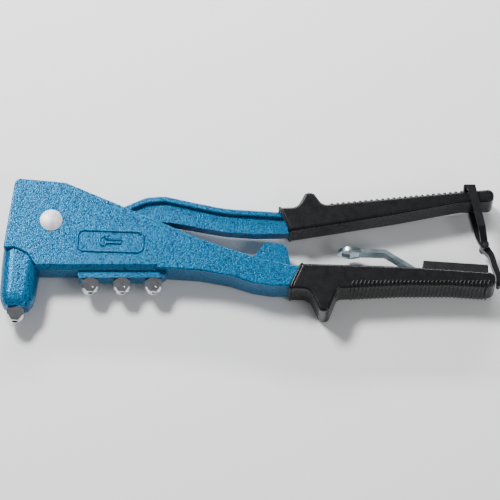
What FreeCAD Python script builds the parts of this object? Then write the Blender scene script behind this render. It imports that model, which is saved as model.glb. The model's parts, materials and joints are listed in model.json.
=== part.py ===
import FreeCAD, Part
import math
import os

os.makedirs("parts", exist_ok=True)

# Two-handled blind-rivet hand tool, lying on its side.  Millimetres.
# X runs along the tool (nose at -X, handle ends at +X), Y from the lower to the
# upper handle, Z through the thickness.  Everything is built round the fulcrum
# pin (0, 0, 0 at mid-thickness) and moved by SHIFT when it is written.
SHIFT = FreeCAD.Vector(-105.581, 14.857, 10.6)

CHEEK_HALF = 9.0          # half thickness of head and lower arm
SLOT_HALF = 6.3           # half width of the slot between the cheeks
CHANNEL_HALF = 5.2        # half width of the channel inside the lower handle
TAIL_HALF = 7.9           # half width of the lower handle core
FLANGE_HALF = 6.0         # half width of the lever's top flange
WEB_HALF = 3.7            # half width of the lever's web
LEVER_TAIL_HALF = 6.6     # half width of the lever core inside its grip
UPPER_GRIP_HALF = 8.5
LOWER_GRIP_HALF = 9.6

PIN_R = 4.0
PIN_HEAD_R = 5.95
HUB_R = 8.4
HUB_BORE_R = 4.06

NOSE_LEAN = math.radians(5.3)   # the barrel leans this much from -Y towards -X
NOSE_OFFSET = 13.64             # fulcrum pin to nose axis
HEAD_TOP = -22.4                # along the nose axis, from the pin's level
BARREL_END = 48.2
CASE_BORE_R = 5.6
BUSH_R = 6.2
THREAD_R = 3.5
CASE_BORE_END = 42.0

FORK_R = 14.3                   # pin to the centre of the fork's round end
FORK_ANGLE = math.radians(23.0)
FORK_END_R = 2.3
GROOVE_HALF = 2.75
NECK_R = 3.5
COLLAR_R = 4.7
CASE_R = 5.5

HEX_FLATS = 9.0
NOSE_EXPOSED = 7.1
NOSE_SHANK_R = 3.45
NOSE_SHANK = 6.0
SPARE_X = (20.9, 37.7, 54.3)
SPARE_EXPOSED = 6.3
FITTED_BORE = 3.1
SPARE_BORES = (2.6, 2.2, 1.8)
PAD_HALF = 4.5
PAD_BOTTOM = -30.7

KEEPER_JOINT = (229.7, -12.0)
KEEPER_PIN_R = 1.0

STRIP_HALF = 3.9
RING_CENTRE_X = 158.7
RING_R = 6.75
SPANNER_HEX_FLATS = 9.2


def vec(x, y, z=0.0):
    return FreeCAD.Vector(x, y, z)


def outline(points):
    """Closed wire in XY; a point is (x, y) or (x, y, corner radius)."""
    corners = []
    count = len(points)
    for i, point in enumerate(points):
        here = vec(point[0], point[1])
        radius = point[2] if len(point) > 2 else 0.0
        if radius == 0.0:
            corners.append((here, None, here))
            continue
        before = vec(*points[i - 1][:2]) - here
        after = vec(*points[(i + 1) % count][:2]) - here
        half = before.getAngle(after) / 2
        room = 0.46 * min(before.Length, after.Length)
        back = min(radius / math.tan(half), room)
        radius = back * math.tan(half)
        before.normalize()
        after.normalize()
        middle = before + after
        middle.normalize()
        crown = here + middle * (radius / math.sin(half) - radius)
        corners.append((here + before * back, crown, here + after * back))
    edges = []
    for i, (start, crown, end) in enumerate(corners):
        if crown is not None:
            edges.append(Part.Arc(start, crown, end).toShape())
        following = corners[(i + 1) % count][0]
        if (following - end).Length > 1e-6:
            edges.append(Part.makeLine(end, following))
    return Part.Wire(edges)


def plate(points, z0, z1):
    """The outline as a solid between two heights."""
    face = Part.Face(outline(points))
    face.translate(vec(0, 0, z0))
    return face.extrude(vec(0, 0, z1 - z0))


def slab(points, half):
    return plate(points, -half, half)


def soften(shape, half, radius):
    """Round the edges of the two side faces at z = -half and +half."""
    edges = []
    for edge in shape.Edges:
        box = edge.BoundBox
        flat = box.ZMax - box.ZMin < 1e-6
        if flat and abs(abs(box.ZMax) - half) < 1e-6:
            edges.append(edge)
    return shape.makeFillet(radius, edges)


def spun(profile):
    """Solid of revolution about Z from (radius, height) points."""
    points = [vec(r, 0, s) for r, s in profile]
    points.append(points[0])
    face = Part.Face(Part.makePolygon(points))
    return face.revolve(vec(0, 0, 0), vec(0, 0, 1), 360)


def tube(outer, inner, s0, s1):
    body = Part.makeCylinder(outer, s1 - s0, vec(0, 0, s0))
    if inner > 0:
        body = body.cut(Part.makeCylinder(inner, s1 - s0 + 2, vec(0, 0, s0 - 1)))
    return body


def nose_placement():
    """Local Z runs down the nose axis, local Y is the tool's Z."""
    lean_s = math.sin(NOSE_LEAN)
    lean_c = math.cos(NOSE_LEAN)
    foot_x = -NOSE_OFFSET * lean_c
    foot_y = NOSE_OFFSET * lean_s
    matrix = FreeCAD.Matrix(
        lean_c, 0, -lean_s, foot_x,
        -lean_s, 0, -lean_c, foot_y,
        0, 1, 0, 0,
        0, 0, 0, 1,
    )
    return FreeCAD.Placement(matrix)


def on_nose(shape):
    placed = shape.copy()
    placed.Placement = nose_placement().multiply(placed.Placement)
    return placed


def nose_point(lateral, along):
    """XY of a point given its distance from the pin's line and along the axis."""
    x = -lateral * math.cos(NOSE_LEAN) - along * math.sin(NOSE_LEAN)
    y = lateral * math.sin(NOSE_LEAN) - along * math.cos(NOSE_LEAN)
    return (x, y)


def section(width, depth, radius, s):
    """Rounded rectangle across the nose axis, as a wire at height s."""
    a = width / 2
    b = depth / 2
    wire = outline([(-a, -b, radius), (a, -b, radius), (a, b, radius), (-a, b, radius)])
    wire.translate(vec(0, 0, s))
    return wire


def hexagon(flats, height):
    radius = flats / math.sqrt(3)
    corners = []
    for i in range(7):
        turn = math.radians(60 * i + 30)
        corners.append(vec(radius * math.cos(turn), radius * math.sin(turn)))
    return Part.Face(Part.makePolygon(corners)).extrude(vec(0, 0, height))


def coil(radius, wire, height, turns):
    """Round-wire compression spring, its ends at heights 0 and height."""
    pitch = (height - wire) / turns
    helix = Part.makeHelix(pitch, height - wire, radius)
    ring = Part.Wire(Part.makeCircle(wire / 2, vec(radius, 0, 0), vec(0, 1, 0)))
    spring = Part.Wire(helix).makePipeShell([ring], True, True)
    spring.translate(vec(0, 0, wire / 2))
    return spring


# Outlines -------------------------------------------------------------------

CHEEK = [
    (-25.3, -15.9, 1.2), (-19.4, -15.2, 5), (-12.3, -18.6, 7), (-7.0, -27.0, 2.5),
    (60, -27.0, 12), (79, -28.3, 25), (95, -31.4, 20), (107, -35.4, 20),
    (117, -37.0, 12), (126.3, -37.0), (132.3, -25.6), (126.6, -24.9, 15),
    (113.4, -22.0, 25), (94.8, -16.0, 40), (78.9, -10.1, 60), (7.2, 21.8, 2),
    (-19.5, 24.4, 3.2),
]
SLOT = [
    nose_point(17.3, -11.0), nose_point(17.3, 9.6), nose_point(7.0, 9.6),
    (-4, -13), (-4, -19, 3), (50, -19, 10), (62, -21.5, 10), (79, -25.3, 20),
    (95, -28.4, 20), (107, -32.2, 20), (117, -33.8, 12), (140, -33.8),
    (140, 40), (21, 40), (-2.2, 13.0),
]
TAB = [
    (105.5, -20.5), (113.6, -9.9, 1.2), (122.9, -11.2, 1.5), (124.9, -13.0, 1.5),
    (126.9, -22.4), (128, -35), (105.5, -35),
]
PAD = [
    (14.6, -26.0), (14.6, PAD_BOTTOM, 1), (58.6, PAD_BOTTOM, 2),
    (61.3, -28.6, 1.5), (61.3, -26.0),
]
LOWER_TAIL = [
    (126.3, -36.6), (155, -36.9, 40), (185, -35.4, 60), (211, -35.4, 60),
    (228, -36.0, 10), (232, -35.0, 1.5), (232, -31.2, 1.5), (212, -29.6, 80),
    (185, -27.9, 80), (131.9, -26.6),
]
CHANNEL = [
    (120, -33.8), (155, -33.9), (185, -33.0), (230, -33.0), (230, -20), (120, -20),
]
LOWER_GRIP = [
    (126.1, -38.7, 0.8), (136.6, -38.8, 6), (142.0, -51.2, 2.6), (146.6, -51.2, 2.6),
    (151.5, -38.7, 7), (156, -38.5, 20), (185, -37.0, 60), (211, -37.0, 60),
    (227, -38.1, 10), (234.9, -37.2, 3.6), (234.9, -29.6, 3.6), (212, -27.8, 90),
    (185, -26.1, 90), (153, -25.0, 90), (132.7, -24.4, 0.8),
]
LEVER_FLANGE_TOP = [
    (2, HUB_R), (36, 8.0, 12), (50, 14.3, 10), (60, 15.1, 14), (76.2, 11.3, 60),
    (92.1, 7.9, 80), (121.4, 5.9),
]
LEVER_FLANGE = LEVER_FLANGE_TOP + [
    (122.8, 2.6), (92.1, 4.6, 80), (76.2, 8.0, 60), (60, 11.8, 10), (50, 10.9, 10),
    (36, 4.7, 12), (2, 4.0),
]
LEVER_WEB = LEVER_FLANGE_TOP + [
    (126.2, -5.6), (108, -5.8, 60), (93, -4.8, 50), (79, -2.3, 60), (61, 1.2, 20),
    (45, -0.5, 20), (4, -HUB_R + 0.6),
]
LEVER_TAIL = [
    (125.5, -3.9), (132, -3.0, 20), (161, 2.0, 80), (182.4, 5.5, 80), (206, 10.1, 40),
    (217, 12.2, 20), (231.5, 12.9, 1), (231.5, 15.8, 1), (217, 14.9, 80),
    (158.5, 9.0, 80), (133, 6.3, 20), (121.4, 5.9),
]
UPPER_GRIP = [
    (126.6, -5.6, 0.8), (132, -4.8, 30), (161, 0.1, 80), (182.4, 3.7, 80),
    (206, 8.4, 30), (217, 10.5, 20), (235.2, 10.9, 3.2), (235.2, 18.4, 3.4),
    (217, 16.7, 80), (158.5, 10.8, 80), (144, 9.3, 5), (139.2, 16.3, 2.6),
    (134.9, 16.3, 2.6), (130.6, 8.1, 5), (120.9, 7.7, 0.8),
]
STRIP = [
    (160, -14.1), (177.3, -14.7, 3), (198, -28.1), (196.9, -29.8),
    (176.7, -16.7, 2), (160, -16.1),
]
STRIP_SLOT = [
    (150, -13.7), (177.6, -14.3), (198.6, -27.9), (197.2, -34.0), (190, -34.0),
    (176.5, -17.1), (150, -16.5),
]
HOLDER = [
    (197.2, -20.4, 0.6), (231.5, -22.8, 0.6), (231.5, -29.8), (229.6, -30.6),
    (229.6, -33.0),
    (201, -33.0), (201, -29.5), (196.2, -26.2),
]


# Pieces ---------------------------------------------------------------------

def make_frame():
    body = soften(slab(CHEEK, CHEEK_HALF), CHEEK_HALF, 0.9)
    barrel = Part.makeLoft([
        section(20.8, 15.5, 6.4, 10), section(20.4, 15.5, 6.4, 26),
        section(18.9, 15.0, 6.4, 41.5), section(17.0, 14.0, 6.0, 45.4),
        section(13.5, 12.2, 5.4, BARREL_END)], True, True)
    body = body.fuse(on_nose(barrel))
    for side in (1, -1):
        wedge = Part.Face(Part.makePolygon([
            vec(-12, -27.5, side * 5.0), vec(-12, -24.4, side * 9.6),
            vec(-12, -29, side * 9.6), vec(-12, -27.5, side * 5.0)]))
        cutter = wedge.extrude(vec(68.5, 0, 0))
        keep = on_nose(tube(40, 0, 16, 60)).common(
            Part.makeBox(24, 70, 40, vec(-32, -60, -20)))
        body = body.cut(cutter.cut(keep))
    body = body.fuse([slab(PAD, PAD_HALF), slab(LOWER_TAIL, TAIL_HALF)])
    body = body.cut(slab(SLOT, SLOT_HALF).cut(Part.makeBox(
        60, 60, 40, vec(129.2, -60, -20))))
    body = body.cut(slab(CHANNEL, CHANNEL_HALF))
    body = body.fuse(slab(TAB, 2.5))
    bores = [
        on_nose(tube(CASE_BORE_R, 0, -20, CASE_BORE_END)),
        on_nose(tube(BUSH_R, 0, HEAD_TOP - 2, -15)),
        on_nose(tube(THREAD_R, 0, CASE_BORE_END - 1, BARREL_END + 1)),
        Part.makeCylinder(PIN_R, 40, vec(0, 0, -20)),
    ]
    for x in SPARE_X:
        bores.append(Part.makeCylinder(
            THREAD_R, NOSE_SHANK + 1.2, vec(x, PAD_BOTTOM - 1, 0), vec(0, 1, 0)))
    for bore in bores:
        body = body.cut(bore)
    return body


def fork_polygon():
    """Prong outline: a waist near the collars, then a round end."""
    turn = math.radians(180) - NOSE_LEAN - FORK_ANGLE
    along = vec(math.cos(turn), math.sin(turn))
    across = vec(-math.sin(turn), math.cos(turn))
    sizes = [(6.5, 3.9), (10.3, 1.8), (12.0, 1.15), (FORK_R, 1.15)]
    points = [along * r + across * h for r, h in sizes]
    points += [along * r - across * h for r, h in reversed(sizes)]
    return [(p.x, p.y) for p in points], along * FORK_R


def make_lever():
    body = slab(LEVER_FLANGE, FLANGE_HALF)
    body = soften(body, FLANGE_HALF, 0.8)
    body = body.fuse([slab(LEVER_WEB, WEB_HALF), slab(LEVER_TAIL, LEVER_TAIL_HALF)])
    body = body.fuse(Part.makeCylinder(HUB_R, 2 * FLANGE_HALF, vec(0, 0, -FLANGE_HALF)))
    prong, end = fork_polygon()
    fork = slab(prong, FLANGE_HALF).fuse(Part.makeCylinder(
        FORK_END_R, 2 * FLANGE_HALF, end + vec(0, 0, -FLANGE_HALF)))
    body = body.fuse(fork)
    gap = Part.makeBox(30, 60, 7.6, vec(-36.9, -30, -3.8))
    ring = tube(25, 8.0, -3.8, 3.8)
    ring = ring.common(Part.makeBox(30, 60, 7.6, vec(-33, -30, -3.8)))
    body = body.cut(gap).cut(ring)
    body = body.cut(Part.makeCylinder(HUB_BORE_R, 40, vec(0, 0, -20)))
    return body


def make_pin():
    shaft = tube(PIN_R, 0, -10.4, 9.0)
    groove = tube(PIN_R + 1, 3.3, -9.95, -9.05)
    rise = 1.1
    sphere_r = (PIN_HEAD_R ** 2 + rise ** 2) / (2 * rise)
    dome = Part.makeSphere(sphere_r, vec(0, 0, 9.3 + rise - sphere_r))
    head = dome.common(tube(PIN_HEAD_R, 0, 9.0, 12.0))
    return shaft.cut(groove).fuse(head)


def make_retaining_ring():
    ring = tube(5.9, 3.35, -9.9, -9.1)
    gap = Part.makeBox(8, 3.2, 4, vec(0, -1.6, -11))
    for turn in (120, 240):
        notch = tube(1.1, 0, -11, -7)
        angle = math.radians(turn)
        notch.translate(vec(4.3 * math.cos(angle), 4.3 * math.sin(angle), 0))
        ring = ring.cut(notch)
    return ring.cut(gap)


def groove_level():
    return -FORK_R * math.sin(FORK_ANGLE)


def make_jaw_case():
    mid = groove_level()
    top = mid - GROOVE_HALF - 2.2
    low = mid + GROOVE_HALF
    shape = spun([
        (2.5, top), (COLLAR_R, top), (COLLAR_R, mid - GROOVE_HALF),
        (NECK_R, mid - GROOVE_HALF), (NECK_R, low), (COLLAR_R, low),
        (COLLAR_R, low + 1.6), (CASE_R, low + 2.4), (CASE_R, 18.0), (4.0, 18.0),
        (4.0, 2.5), (2.5, 2.5),
    ])
    return on_nose(shape)


def make_jaw_case_nut():
    body = spun([
        (3.3, 12.0), (4.0, 12.0), (4.0, 18.0), (CASE_R, 18.0), (CASE_R, 27.6),
        (4.9, 28.4), (2.1, 28.4), (2.1, 27.4), (3.3, 20.4),
    ])
    flats = Part.makeBox(20, 20, 4.5, vec(4.7, -10, 22))
    other = Part.makeBox(20, 20, 4.5, vec(-24.7, -10, 22))
    return on_nose(body.cut(flats).cut(other))


def make_jaws():
    """Two half cones that grip the mandrel between toothed faces."""
    cone = spun([(0.9, 19.0), (2.95, 19.0), (3.05, 20.6), (2.0, 26.6), (0.9, 27.2)])
    teeth = []
    for i in range(6):
        teeth.append(spun([(0.5, 19.8 + i), (1.25, 20.2 + i), (0.5, 20.6 + i)]))
    for tooth in teeth:
        cone = cone.cut(tooth)
    halves = []
    for side in (1, -1):
        box = Part.makeBox(8, 12, 12, vec(0.2 if side > 0 else -8.2, -6, 17))
        halves.append(on_nose(cone.common(box)))
    return halves


def make_jaw_pusher():
    return on_nose(spun([
        (1.6, 13.0), (2.2, 13.0), (2.2, 15.6), (3.1, 15.6), (3.1, 17.2), (2.0, 18.9),
        (1.6, 18.9)]))


def make_jaw_spring():
    """Plain sleeve of the spring's outline, in place of its coils."""
    return on_nose(tube(3.1, 2.5, 2.6, 15.4))


def make_return_spring():
    top = groove_level() - GROOVE_HALF - 2.2
    spring = coil(4.0, 0.8, top + 15.0 - 0.1, 4)
    spring.translate(vec(0, 0, -14.95))
    return on_nose(spring)


def make_guide_tube():
    return on_nose(tube(2.2, 1.75, -20.0, 3.0))


def make_outlet_bush():
    body = spun([
        (2.2, -15.0), (BUSH_R, -15.0), (BUSH_R, -22.2), (3.4, -22.2), (2.6, -21.4),
        (2.6, -20.0), (2.2, -20.0)])
    slot = Part.makeBox(20, 1.6, 1.2, vec(-10, -0.8, -22.8))
    return on_nose(body.cut(slot))


def nosepiece(bore):
    """Hex head from z = 0 upwards, threaded shank below."""
    arc = Part.Arc(vec(5.25, 0, 2.9), vec(4.45, 0, 5.3), vec(3.0, 0, NOSE_EXPOSED))
    edges = [
        Part.makeLine(vec(0, 0, 0.05), vec(4.5, 0, 0.05)),
        Part.makeLine(vec(4.5, 0, 0.05), vec(5.25, 0, 0.6)),
        Part.makeLine(vec(5.25, 0, 0.6), vec(5.25, 0, 2.9)),
        arc.toShape(),
        Part.makeLine(vec(3.0, 0, NOSE_EXPOSED), vec(0, 0, NOSE_EXPOSED)),
        Part.makeLine(vec(0, 0, NOSE_EXPOSED), vec(0, 0, 0.05)),
    ]
    dome = Part.Face(Part.Wire(edges)).revolve(vec(0, 0, 0), vec(0, 0, 1), 360)
    head = hexagon(HEX_FLATS, NOSE_EXPOSED + 1).common(dome)
    shank = spun([
        (0, 0.2), (NOSE_SHANK_R, 0.2), (NOSE_SHANK_R, 0.5 - NOSE_SHANK),
        (NOSE_SHANK_R - 0.5, -NOSE_SHANK), (0, -NOSE_SHANK)])
    body = head.fuse(shank)
    return body.cut(Part.makeCylinder(bore / 2, 30, vec(0, 0, -15)))


def make_fitted_nosepiece():
    piece = nosepiece(FITTED_BORE)
    piece.translate(vec(0, 0, BARREL_END))
    return on_nose(piece)


def make_spare(x, bore):
    piece = nosepiece(bore)
    piece.rotate(vec(0, 0, 0), vec(1, 0, 0), 90)
    piece.translate(vec(x, PAD_BOTTOM + NOSE_EXPOSED - SPARE_EXPOSED - 0.8, 0))
    return piece


def make_upper_grip():
    body = soften(slab(UPPER_GRIP, UPPER_GRIP_HALF), UPPER_GRIP_HALF, 1.5)
    return body.cut(slab(LEVER_TAIL, LEVER_TAIL_HALF))


def make_lower_grip():
    body = slab(LOWER_GRIP, LOWER_GRIP_HALF)
    body = soften(body, LOWER_GRIP_HALF, 1.5)
    body = body.cut(slab(LOWER_TAIL, TAIL_HALF))
    body = body.cut(slab(STRIP_SLOT, STRIP_HALF + 0.35))
    return body.cut(slab(HOLDER, 3.0))


def make_spanner_holder():
    rib = soften(slab(HOLDER, 3.0), 3.0, 0.5)
    foot = slab([(201, -33.0), (229.5, -33.0), (229.5, -31.2), (201, -31.2)], 5.1)
    return rib.fuse(foot)


def make_spanner():
    strip = slab(STRIP, STRIP_HALF)
    ring = Part.makeCylinder(RING_R, 2, vec(RING_CENTRE_X, -16.1, 0), vec(0, 1, 0))
    hole = hexagon(SPANNER_HEX_FLATS, 6)
    hole.rotate(vec(0, 0, 0), vec(1, 0, 0), -90)
    hole.translate(vec(RING_CENTRE_X, -18, 0))
    return strip.fuse(ring).cut(hole)


def make_keeper_loop():
    x1, y1 = KEEPER_JOINT
    side = slab([
        (219.9, 18.0), (219.9, 19.9), (225.2, 19.9), (x1 + 1.9, -11.0),
        (x1 + 1.6, -14.0), (x1 - 1.6, -14.0), (x1 - 1.9, -10.0), (221.4, 16.6),
        (220.6, 18.0)], 12)
    outer = [(-10.6, 19.9), (10.6, 19.9), (10.6, -3.5), (4.6, -10.2), (4.6, -13.8),
             (-4.6, -13.8), (-4.6, -10.2), (-10.6, -3.5)]
    inner = [(-9.0, 18.0), (9.0, 18.0), (9.0, -3.0), (2.9, -9.8), (2.9, -15),
             (-2.9, -15), (-2.9, -9.8), (-9.0, -3.0)]
    wires = []
    for ring in (outer, inner):
        corners = [vec(210, y, z) for z, y in ring]
        wires.append(Part.makePolygon(corners + [corners[0]]))
    band = Part.Face(wires[0]).extrude(vec(40, 0, 0))
    band = band.cut(Part.Face(wires[1]).extrude(vec(40, 0, 0)))
    eyes = tube(2.4, 0, -4.6, 4.6).cut(tube(3, 0, -2.9, 2.9))
    eyes.translate(vec(x1, y1, 0))
    hole = tube(KEEPER_PIN_R, 0, -8, 8)
    hole.translate(vec(x1, y1, 0))
    bead = tube(0.95, 0, -10.6, 10.6)
    bead.translate(vec(219.9, 18.95, 0))
    return side.common(band).fuse([eyes, bead]).cut(hole)


def make_keeper_tongue():
    x1, y1 = KEEPER_JOINT
    strap = slab([
        (x1 - 1.2, y1 + 0.5), (x1 + 1.6, y1 + 1.0), (234.8, -16.5, 6), (236.4, -22.5, 6),
        (238.0, -28.0, 6), (237.9, -34.8, 1.2), (235.7, -34.8, 0.9), (235.4, -28.5, 6),
        (233.6, -24.0, 6), (232.0, -17.5, 6), (x1 - 1.6, y1 - 1.5)], 2.5)
    eye = tube(2.2, 0, -2.6, 2.6)
    eye.translate(vec(x1, y1, 0))
    hole = tube(KEEPER_PIN_R + 0.06, 0, -8, 8)
    hole.translate(vec(x1, y1, 0))
    return strap.fuse(eye).cut(hole)


def make_keeper_pin():
    pin = tube(KEEPER_PIN_R, 0, -4.6, 4.6)
    pin.translate(vec(KEEPER_JOINT[0], KEEPER_JOINT[1], 0))
    return pin


jaw_left, jaw_right = make_jaws()
pieces = {
    "frame_casting": make_frame(),
    "lever_casting": make_lever(),
    "fulcrum_pin": make_pin(),
    "fulcrum_retaining_ring": make_retaining_ring(),
    "outlet_bush": make_outlet_bush(),
    "mandrel_guide_tube": make_guide_tube(),
    "return_spring": make_return_spring(),
    "jaw_case": make_jaw_case(),
    "jaw_case_nut": make_jaw_case_nut(),
    "jaw_left": jaw_left,
    "jaw_right": jaw_right,
    "jaw_pusher": make_jaw_pusher(),
    "jaw_spring": make_jaw_spring(),
    "nosepiece_fitted": make_fitted_nosepiece(),
    "upper_grip": make_upper_grip(),
    "lower_grip": make_lower_grip(),
    "spanner_holder": make_spanner_holder(),
    "spanner": make_spanner(),
    "keeper_loop": make_keeper_loop(),
    "keeper_tongue": make_keeper_tongue(),
    "keeper_pivot_pin": make_keeper_pin(),
}
for name, x, bore in zip("abc", SPARE_X, SPARE_BORES):
    pieces["nosepiece_spare_" + name] = make_spare(x, bore)

whole = FreeCAD.BoundBox()
for name, shape in pieces.items():
    placed = shape.copy()
    placed.translate(SHIFT)
    whole.add(placed.BoundBox)
    print(name, "solids", len(placed.Solids), "valid", placed.isValid(),
          "volume", round(placed.Volume, 1))
    placed.exportStep("parts/" + name + ".step")
print("bounds", whole)
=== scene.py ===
import json
import math
import bpy
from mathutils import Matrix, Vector


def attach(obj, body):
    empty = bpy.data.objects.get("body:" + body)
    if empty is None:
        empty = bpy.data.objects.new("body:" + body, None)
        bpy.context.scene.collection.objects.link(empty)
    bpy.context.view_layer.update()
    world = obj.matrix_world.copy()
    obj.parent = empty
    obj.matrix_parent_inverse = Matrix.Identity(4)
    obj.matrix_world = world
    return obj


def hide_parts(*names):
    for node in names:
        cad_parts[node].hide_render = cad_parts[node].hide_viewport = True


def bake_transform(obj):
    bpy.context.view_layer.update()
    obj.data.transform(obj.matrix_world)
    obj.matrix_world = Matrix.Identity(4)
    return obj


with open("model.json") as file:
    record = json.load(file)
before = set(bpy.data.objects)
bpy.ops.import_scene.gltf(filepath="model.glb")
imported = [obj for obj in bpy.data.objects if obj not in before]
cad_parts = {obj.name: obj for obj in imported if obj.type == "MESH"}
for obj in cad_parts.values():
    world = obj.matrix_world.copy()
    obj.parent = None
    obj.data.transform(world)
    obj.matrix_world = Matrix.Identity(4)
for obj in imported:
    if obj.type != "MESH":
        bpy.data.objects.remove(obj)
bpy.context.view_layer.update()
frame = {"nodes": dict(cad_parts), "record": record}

# The CAD frame was drawn round the fulcrum pin in millimetres; this is the pin.
PIN = Vector((-105.581, 14.857, 10.6))


def at(x, y, z=0.0):
    """A point given in mm from the fulcrum pin, as metres in the frame."""
    return (Vector((x, y, z)) + PIN) * 0.001


# Materials --------------------------------------------------------------------

def new_material(name):
    """A node material, with its tree and its main shader."""
    material = bpy.data.materials.new(name)
    material.use_nodes = True
    tree = material.node_tree
    return material, tree, tree.nodes["Principled BSDF"]


def object_noise(tree, scale, detail=3.0, roughness=0.5):
    """Noise fixed to the object, so that it moves with its piece."""
    coords = tree.nodes.new("ShaderNodeTexCoord")
    noise = tree.nodes.new("ShaderNodeTexNoise")
    noise.inputs["Scale"].default_value = scale
    noise.inputs["Detail"].default_value = detail
    noise.inputs["Roughness"].default_value = roughness
    tree.links.new(coords.outputs["Object"], noise.inputs["Vector"])
    return noise


def ramp(tree, source, low, high, start=0.3, end=0.7):
    """Two colours blended by a source value, from start to end."""
    node = tree.nodes.new("ShaderNodeValToRGB")
    node.color_ramp.elements[0].position = start
    node.color_ramp.elements[0].color = low
    node.color_ramp.elements[1].position = end
    node.color_ramp.elements[1].color = high
    tree.links.new(source, node.inputs["Fac"])
    return node


def spread(tree, source, low, high):
    """A 0 to 1 value stretched to run from low to high."""
    node = tree.nodes.new("ShaderNodeMapRange")
    node.inputs["To Min"].default_value = low
    node.inputs["To Max"].default_value = high
    tree.links.new(source, node.inputs["Value"])
    return node.outputs["Result"]


def bump(tree, shader, height, strength, distance):
    """Fine relief on a shader; distance is in metres."""
    node = tree.nodes.new("ShaderNodeBump")
    node.inputs["Strength"].default_value = strength
    node.inputs["Distance"].default_value = distance
    tree.links.new(height, node.inputs["Height"])
    tree.links.new(node.outputs["Normal"], shader.inputs["Normal"])


def worn(name, color, metallic, rough, scale, depth, specular=0.5):
    """Plain finish with colour mottle, uneven roughness and a fine grain."""
    material, tree, shader = new_material(name)
    mottle = object_noise(tree, scale * 0.12, 4.0)
    grain = object_noise(tree, scale, 5.0, 0.6)
    low = [c * 0.78 for c in color] + [1.0]
    high = [min(1.0, c * 1.18) for c in color] + [1.0]
    colors = ramp(tree, mottle.outputs["Fac"], low, high)
    tree.links.new(colors.outputs["Color"], shader.inputs["Base Color"])
    uneven = spread(tree, mottle.outputs["Fac"], rough * 0.8, rough * 1.25)
    tree.links.new(uneven, shader.inputs["Roughness"])
    shader.inputs["Metallic"].default_value = metallic
    shader.inputs["Specular IOR Level"].default_value = specular
    bump(tree, shader, grain.outputs["Fac"], 0.35, depth)
    return material


CELL_SCALE = 1450.0
CELL_WARP = 0.0022
SEAM_DEPTH = 0.00018
ENAMEL_LIGHT = (0.006, 0.20, 0.40, 1)
ENAMEL_SEAM = (0.0005, 0.020, 0.09, 1)


def hammertone(name):
    """Hammered enamel: small rounded cells of lighter blue with dark seams."""
    material, tree, shader = new_material(name)
    coords = tree.nodes.new("ShaderNodeTexCoord")
    warp = object_noise(tree, 420.0, 2.0)
    shift = tree.nodes.new("ShaderNodeVectorMath")
    shift.operation = "SCALE"
    shift.inputs["Scale"].default_value = CELL_WARP
    tree.links.new(warp.outputs["Color"], shift.inputs[0])
    moved = tree.nodes.new("ShaderNodeVectorMath")
    tree.links.new(coords.outputs["Object"], moved.inputs[0])
    tree.links.new(shift.outputs["Vector"], moved.inputs[1])
    cells = tree.nodes.new("ShaderNodeTexVoronoi")
    cells.feature = "SMOOTH_F1"
    cells.inputs["Scale"].default_value = CELL_SCALE
    cells.inputs["Smoothness"].default_value = 0.6
    tree.links.new(moved.outputs["Vector"], cells.inputs["Vector"])
    colors = ramp(tree, cells.outputs["Distance"], ENAMEL_LIGHT, ENAMEL_SEAM, 0.20, 0.82)
    tree.links.new(colors.outputs["Color"], shader.inputs["Base Color"])
    uneven = spread(tree, cells.outputs["Distance"], 0.22, 0.42)
    tree.links.new(uneven, shader.inputs["Roughness"])
    shader.inputs["Metallic"].default_value = 0.4
    shader.inputs["Specular IOR Level"].default_value = 0.2
    shader.inputs["Coat Weight"].default_value = 0.05
    shader.inputs["Coat Roughness"].default_value = 0.12
    bump(tree, shader, cells.outputs["Distance"], 0.6, -SEAM_DEPTH)
    return material


STEEL = (0.60, 0.59, 0.64)
SPRING_WIRE = (0.42, 0.42, 0.44)
OXIDE = (0.06, 0.06, 0.065)
CHROME = (0.60, 0.61, 0.64)
VINYL = (0.0065, 0.0065, 0.008)
BLACK_PLASTIC = (0.008, 0.008, 0.010)
ZINC = (0.30, 0.40, 0.45)

# Each finish: colour, metallic, roughness, grain scale, grain depth, specular.
MATERIALS = {
    "body_blue": hammertone("body_blue_paint"),
    "satin_steel": worn("satin_steel_finish", STEEL, 0.45, 0.45, 2600, 0.00004),
    "spring_steel": worn("spring_steel_finish", SPRING_WIRE, 1.0, 0.30, 3000, 0.00003),
    "black_oxide": worn("black_oxide_finish", OXIDE, 0.9, 0.38, 3000, 0.00004),
    "nose_chrome": worn("nose_chrome_finish", CHROME, 1.0, 0.10, 1800, 0.00002),
    "grip_vinyl": worn("grip_vinyl_finish", VINYL, 0.0, 0.27, 2400, 0.00006, 0.32),
    "holder_plastic": worn("holder_finish", BLACK_PLASTIC, 0.0, 0.40, 2400, 0.00006, 0.3),
    "keeper_plastic": worn("keeper_finish", BLACK_PLASTIC, 0.0, 0.30, 2400, 0.00006, 0.35),
    "zinc_plate": worn("zinc_finish", ZINC, 1.0, 0.30, 1500, 0.00004),
}

slots = {p["node"]: p["material_slot"] for p in frame["record"]["subparts"]}
for node, obj in frame["nodes"].items():
    for entry in obj.material_slots:
        entry.material = MATERIALS[slots[node]]


# Added detail -----------------------------------------------------------------

END_TAPER = 0.35


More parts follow.
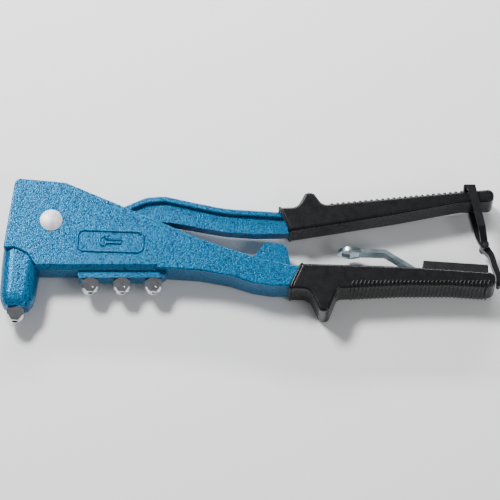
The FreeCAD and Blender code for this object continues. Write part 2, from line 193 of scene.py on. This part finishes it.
def tubes(name, paths, radius, closed, slot, body, sides=10):
    """Round beads along paths, in mm from the pin, as one mesh.

    It rides on body, if one is given. The ends of an open bead are drawn in.
    """
    points = []
    faces = []
    for path in paths:
        line = [Vector(p) for p in path]
        count = len(line)
        first = len(points)
        for i, here in enumerate(line):
            if closed:
                way = line[(i + 1) % count] - line[i - 1]
            else:
                way = line[min(i + 1, count - 1)] - line[max(i - 1, 0)]
            way.normalize()
            guide = Vector((1, 0, 0)) if abs(way.x) < 0.8 else Vector((0, 0, 1))
            side = way.cross(guide).normalized()
            other = side.cross(way).normalized()
            ends = not closed and i in (0, count - 1)
            size = radius * (END_TAPER if ends else 1.0)
            for k in range(sides):
                turn = 2 * math.pi * k / sides
                offset = side * math.cos(turn) + other * math.sin(turn)
                points.append(at(*(here + offset * size)))
        rings = count if closed else count - 1
        for i in range(rings):
            a = first + i * sides
            b = first + ((i + 1) % count) * sides
            for k in range(sides):
                m = (k + 1) % sides
                faces.append((a + k, a + m, b + m, b + k))
        if not closed:
            faces.append([first + k for k in reversed(range(sides))])
            last = first + (count - 1) * sides
            faces.append([last + k for k in range(sides)])
    mesh = bpy.data.meshes.new(name)
    mesh.from_pydata([tuple(p) for p in points], [], faces)
    mesh.polygons.foreach_set("use_smooth", [True] * len(mesh.polygons))
    mesh.update()
    obj = bpy.data.objects.new(name, mesh)
    bpy.context.scene.collection.objects.link(obj)
    mesh.materials.append(MATERIALS[slot])
    if body:
        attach(obj, body)
    return obj


def arc(cx, cy, radius, start, end, steps):
    """Points on an arc in a plane, angles in degrees."""
    turns = [math.radians(start + (end - start) * i / steps) for i in range(steps + 1)]
    return [(cx + radius * math.cos(t), cy + radius * math.sin(t)) for t in turns]


def mouth(x0, y0, x1, y1, half, corner):
    """Rounded rectangle across a handle, from its top to its bottom edge point."""
    length = math.hypot(x1 - x0, y1 - y0)
    ring = []
    for cx, cy, start in (
        (half - corner, length - corner, 0), (-half + corner, length - corner, 90),
        (-half + corner, corner, 180), (half - corner, corner, 270),
    ):
        ring += arc(cx, cy, corner, start, start + 90, 6)
    return [(x0 + (x1 - x0) * t / length, y0 + (y1 - y0) * t / length, z) for z, t in ring]


tubes("upper_grip_rim", [mouth(121.2, 7.7, 126.8, -5.4, 8.45, 1.6)], 0.75, True,
      "grip_vinyl", "lever")
tubes("lower_grip_rim", [mouth(132.8, -24.5, 126.5, -38.5, 9.4, 1.6)], 0.85, True,
      "grip_vinyl", "frame")


def upper_top(x):
    """Y of the upper grip's outer edge, which climbs towards its end."""
    return 9.3 + 0.1025 * (x - 144)


TOP_RIB_COUNT = 24
TOP_RIB_PITCH = 3.0
TOP_RIB_START = 149.0

top_ribs = []
for i in range(TOP_RIB_COUNT):
    x = TOP_RIB_START + TOP_RIB_PITCH * i
    y = upper_top(x) - 0.1
    rib = [(x, y - 1.6, -8.0), (x, y - 0.5, -7.6), (x, y, -6.9), (x, y, -3), (x, y, 3)]
    top_ribs.append(rib + [(x, y, 6.9), (x, y - 0.5, 7.6), (x, y - 1.6, 8.0)])
tubes("upper_grip_ribs", top_ribs, 0.95, False, "grip_vinyl", "lever")


def lower_bottom(x):
    """Y of the lower grip's outer edge: it rises, runs level, then drops."""
    if x < 185:
        return -38.5 + 1.5 * (x - 156) / 29
    if x < 211:
        return -37.0
    return -37.0 - 1.1 * (x - 211) / 16


LOW_RIB_COUNT = 35
LOW_RIB_PITCH = 2.1
LOW_RIB_START = 158.5

low_ribs = []
for i in range(LOW_RIB_COUNT):
    x = LOW_RIB_START + LOW_RIB_PITCH * i
    y = lower_bottom(x) + 0.15
    rib = [(x + 1.9, -34.0, 9.4), (x + 1.5, -34.6, 9.6), (x + 0.9, y + 1.6, 9.6)]
    rib += [(x + 0.6, y + 0.75, 9.2), (x + 0.4, y + 0.1, 8.3), (x, y, 4.0)]
    low_ribs.append(rib + [(px, py, -pz) for px, py, pz in reversed(rib)])
tubes("lower_grip_ribs", low_ribs, 0.68, False, "grip_vinyl", "frame", 8)

# The nose axis passes AXIS_OFFSET from the pin, and its nose end leans away
# from the handles.
LEAN = math.radians(5.3)
AXIS_OFFSET = 13.64
COIL_STEPS = 24


def on_axis(s, across=0.0, z=0.0):
    """A point at distance s down the nose axis, in mm from the pin."""
    x = (across - AXIS_OFFSET) * math.cos(LEAN) - s * math.sin(LEAN)
    y = (AXIS_OFFSET - across) * math.sin(LEAN) - s * math.cos(LEAN)
    return (x, y, z)


def coil(name, node, radius, wire, s0, s1, turns):
    """A spring's coils, stretching between the two bodies it sits between."""
    steps = COIL_STEPS * turns
    path = []
    for i in range(steps + 1):
        turn = 2 * math.pi * i / COIL_STEPS
        s = s0 + wire / 2 + (s1 - s0 - wire) * i / steps
        path.append(on_axis(s, radius * math.cos(turn), radius * math.sin(turn)))
    obj = tubes(name, [path], wire / 2, False, "spring_steel", None, 8)
    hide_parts(node)
    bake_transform(obj)


coil("return_spring_coils", "return_spring", 4.0, 0.8, -14.95, -10.64, 4)
coil("jaw_spring_coils", "jaw_spring", 2.8, 0.5, 2.6, 15.4, 7)

# A plain raised border and a rivet sign, where tools of this kind are marked.
CHEEK_X = 31.5
CHEEK_Y = -12.0
SLOPE = math.radians(-2)


def on_cheek(u, v, z=9.0):
    """A point on the head's flat side, along and across its raised border."""
    x = CHEEK_X + u * math.cos(SLOPE) - v * math.sin(SLOPE)
    y = CHEEK_Y + u * math.sin(SLOPE) + v * math.cos(SLOPE)
    return (x, y, z)


BORDER_LENGTH = 14
BORDER_RISE = 2.4
BORDER_CORNER = 3.4

border = []
for cx, cy, start in (
    (BORDER_LENGTH, BORDER_RISE, 0), (-BORDER_LENGTH, BORDER_RISE, 90),
    (-BORDER_LENGTH, -BORDER_RISE, 180), (BORDER_LENGTH, -BORDER_RISE, 270),
):
    corner = arc(cx, cy, BORDER_CORNER, start, start + 90, 8)
    border += [on_cheek(u, v) for u, v in corner]
tubes("head_border", [border], 0.75, True, "body_blue", "frame")

SHANK = 1.1
rivet = [on_cheek(u, v) for u, v in arc(-3.0, 0, 2.6, 90, 270, 10)]
rivet += [on_cheek(-2.2, -SHANK), on_cheek(5.5, -SHANK)]
rivet += [on_cheek(5.5, SHANK), on_cheek(-2.2, SHANK)]
tubes("head_rivet_sign", [rivet], 0.7, True, "body_blue", "frame")


# Stage ------------------------------------------------------------------------

def area_light(name, place, target, size, size_y, power):
    """A rectangular light at a place in metres, turned to face a target."""
    light = bpy.data.lights.new(name, "AREA")
    light.shape = "RECTANGLE"
    light.size = size
    light.size_y = size_y
    light.energy = power
    obj = bpy.data.objects.new(name, light)
    bpy.context.scene.collection.objects.link(obj)
    obj.location = place
    away = Vector(place) - Vector(target)
    obj.rotation_euler = away.to_track_quat("Z", "Y").to_euler()


reach = 3.0
floor_mesh = bpy.data.meshes.new("floor")
floor_mesh.from_pydata(
    [(-reach, -reach, 0), (reach, -reach, 0), (reach, reach, 0), (-reach, reach, 0)],
    [], [(0, 1, 2, 3)])
floor = bpy.data.objects.new("floor", floor_mesh)
bpy.context.scene.collection.objects.link(floor)
floor_material, floor_tree, floor_shader = new_material("floor_paper")
floor_shader.inputs["Base Color"].default_value = (0.97, 0.97, 0.97, 1)
floor_shader.inputs["Roughness"].default_value = 0.8
floor_mesh.materials.append(floor_material)

area_light("key", (-0.5, 0.55, 0.9), (0, 0, 0), 0.35, 0.2, 20)
area_light("fill", (0.6, -0.5, 0.8), (0, 0, 0), 0.5, 0.3, 2.5)
area_light("strip", (0.0, 0.75, 0.35), (0, 0, 0), 0.9, 0.08, 8)

world = bpy.data.worlds.new("studio")
bpy.context.scene.world = world
world.use_nodes = True
world.node_tree.nodes["Background"].inputs["Color"].default_value = (0.95, 0.97, 1.0, 1)
world.node_tree.nodes["Background"].inputs["Strength"].default_value = 0.24

camera_data = bpy.data.cameras.new("camera")
camera_data.lens = 244
camera_data.clip_start = 0.05
camera_data.clip_end = 20
camera = bpy.data.objects.new("camera", camera_data)
bpy.context.scene.collection.objects.link(camera)
CAMERA_DISTANCE = 1.8
target = Vector((-0.0002, 0.0014, 0.0106))
tilt = math.radians(69)
toward = Vector((0, -math.cos(tilt), math.sin(tilt)))
camera.location = target + toward * CAMERA_DISTANCE
camera.rotation_euler = toward.to_track_quat("Z", "Y").to_euler()
bpy.context.scene.camera = camera
